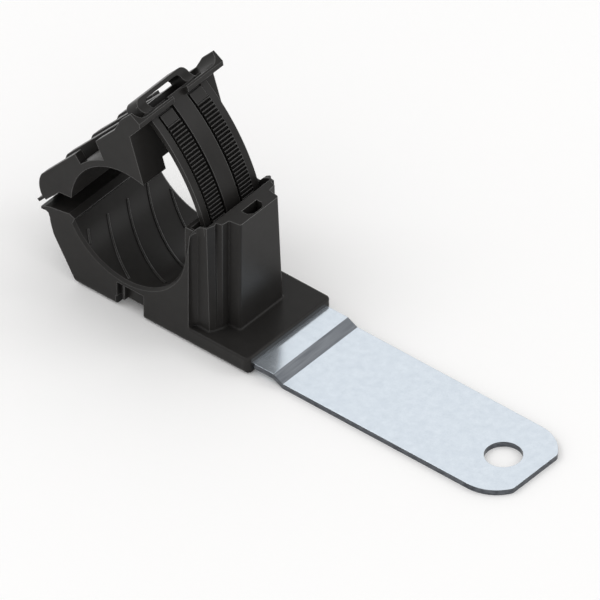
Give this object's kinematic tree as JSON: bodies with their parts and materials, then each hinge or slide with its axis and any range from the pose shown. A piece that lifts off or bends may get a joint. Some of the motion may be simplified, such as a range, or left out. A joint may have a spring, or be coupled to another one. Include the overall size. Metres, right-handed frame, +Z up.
{
  "type": "ratchet p-clamp",
  "caption": "Moulded ratchet P-clamp with a hinged toothed strap, on a bent steel fixing plate with a bolt hole, for holding a cable or hose bundle.",
  "frame": {"origin": "centre of the plate's bolt hole, on the underside that lies on the mounting surface", "axes": "+Z up out of the mounting surface along the bolt, +X along the plate away from the clamp, Y along the cable"},
  "size_m": [0.0994, 0.0218, 0.0431],
  "materials": {
    "black_polyamide": "satin moulded black",
    "galvanised_steel": "bright zinc coating, smooth"
  },
  "bodies": {
    "base": {"clamp_base": "black_polyamide", "mounting_plate": "galvanised_steel"},
    "arm": {"ratchet_arm": "black_polyamide"}
  },
  "joints": [
    {"name": "arm_hinge", "type": "hinge", "parent": "base", "child": "arm", "pos_m": [-0.09172, 0, 0.01308], "axis": [0, -1, 0], "range_deg": [-28, 60]}
  ]
}
